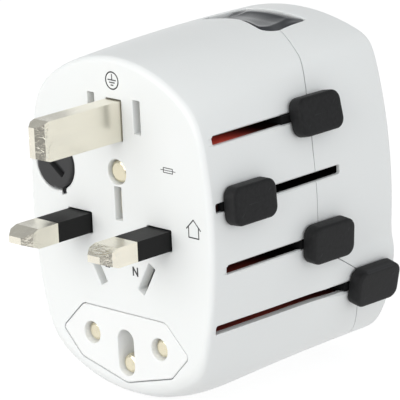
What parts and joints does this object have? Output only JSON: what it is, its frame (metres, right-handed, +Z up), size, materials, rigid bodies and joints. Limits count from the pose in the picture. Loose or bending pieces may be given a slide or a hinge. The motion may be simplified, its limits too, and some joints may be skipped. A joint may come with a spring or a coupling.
{
  "type": "universal travel adapter",
  "caption": "Travel plug adapter: a rounded white body with sliding plug pin sets on its front face, side sliders, a fuse cap, a top release button and a socket at the back.",
  "frame": {"origin": "on the plug face, midway between the two lower rectangular pins", "axes": "+X across the face towards the side with the sliders, +Y from the plug face into the body, +Z up towards the earth pin"},
  "size_m": [0.0544, 0.0753, 0.0708],
  "materials": {
    "casing_white": "satin",
    "block_white": "satin",
    "guide_red": "satin",
    "knob_charcoal": "soft touch",
    "carrier_black": "satin",
    "nickel": "satin nickel plate",
    "sleeve_black": "satin",
    "strap_steel": "brushed",
    "cap_grey": "satin",
    "ceramic": "matt",
    "button_glass": "gloss",
    "brass": "satin",
    "shutter_grey": "satin",
    "spring_steel": "drawn wire",
    "screw_steel": "zinc plate"
  },
  "bodies": {
    "casing": {"front_casing": "casing_white", "rear_cap": "casing_white", "slider_guide": "guide_red", "fuse_holder": "carrier_black", "fuse_tube": "ceramic", "fuse_end_caps": "nickel", "fuse_spring": "spring_steel", "fuse_contact": "brass", "release_spring": "spring_steel", "live_rail": "brass", "neutral_rail": "brass", "earth_rail": "brass", "socket_frame": "carrier_black", "socket_contact_live": "brass", "socket_contact_neutral": "brass", "socket_contact_earth": "brass", "shutter_spring": "spring_steel", "case_screws": "screw_steel"},
    "uk_plug": {"uk_knob": "knob_charcoal", "uk_carriage": "carrier_black", "uk_carriage_arm": "carrier_black", "uk_bridge_strap": "strap_steel", "uk_earth_pin": "nickel", "uk_live_pin": "nickel", "uk_neutral_pin": "nickel", "uk_live_sleeve": "sleeve_black", "uk_neutral_sleeve": "sleeve_black"},
    "us_plug": {"us_knob": "knob_charcoal", "us_carriage": "carrier_black", "us_blade_left": "nickel", "us_blade_right": "nickel", "us_earth_pin": "nickel"},
    "aus_plug": {"aus_knob": "knob_charcoal", "aus_carriage": "carrier_black", "aus_blade_left": "nickel", "aus_blade_right": "nickel", "aus_earth_blade": "nickel"},
    "euro_plug": {"euro_knob": "knob_charcoal", "euro_carriage": "carrier_black", "euro_pin_left": "nickel", "euro_pin_right": "nickel"},
    "euro_earth": {"euro_earth_pin": "nickel", "euro_earth_slide": "carrier_black"},
    "euro_block": {"euro_block": "block_white"},
    "fuse_cap": {"fuse_cap": "cap_grey"},
    "release_button": {"release_button": "button_glass", "latch_bar": "strap_steel"},
    "socket_shutter": {"socket_shutter": "shutter_grey"}
  },
  "joints": [
    {"name": "uk_slide", "type": "slide", "parent": "casing", "child": "uk_plug", "axis": [0, 1, 0], "range_m": [0, 0.025]},
    {"name": "us_slide", "type": "slide", "parent": "casing", "child": "us_plug", "axis": [0, -1, 0], "range_m": [0, 0.0188]},
    {"name": "aus_slide", "type": "slide", "parent": "casing", "child": "aus_plug", "axis": [0, -1, 0], "range_m": [0, 0.0195]},
    {"name": "euro_slide", "type": "slide", "parent": "casing", "child": "euro_plug", "axis": [0, -1, 0], "range_m": [0, 0.0346]},
    {"name": "euro_block_slide", "type": "slide", "parent": "casing", "child": "euro_block", "axis": [0, -1, 0], "range_m": [0, 0.014]},
    {"name": "euro_earth_shift", "type": "slide", "parent": "euro_plug", "child": "euro_earth", "axis": [0, 0, 1], "range_m": [0, 0.005]},
    {"name": "fuse_cap_turn", "type": "hinge", "parent": "casing", "child": "fuse_cap", "pos_m": [-0.0178, 0.001, 0.0105], "axis": [0, -1, 0], "range_deg": [0, 45]},
    {"name": "release_press", "type": "slide", "parent": "casing", "child": "release_button", "axis": [0, 0, -1], "range_m": [0, 0.0015], "stiffness_N_per_m": 400, "springref_m": -0.001, "deforming": ["release_spring"]},
    {"name": "shutter_slide", "type": "slide", "parent": "casing", "child": "socket_shutter", "axis": [0, 0, -1], "range_m": [0, 0.0074], "stiffness_N_per_m": 60, "springref_m": -0.003, "deforming": ["shutter_spring"]}
  ],
  "couplings": [
    {"joint": "euro_block_slide", "follows": "euro_slide", "ratio": 0.40462}
  ]
}
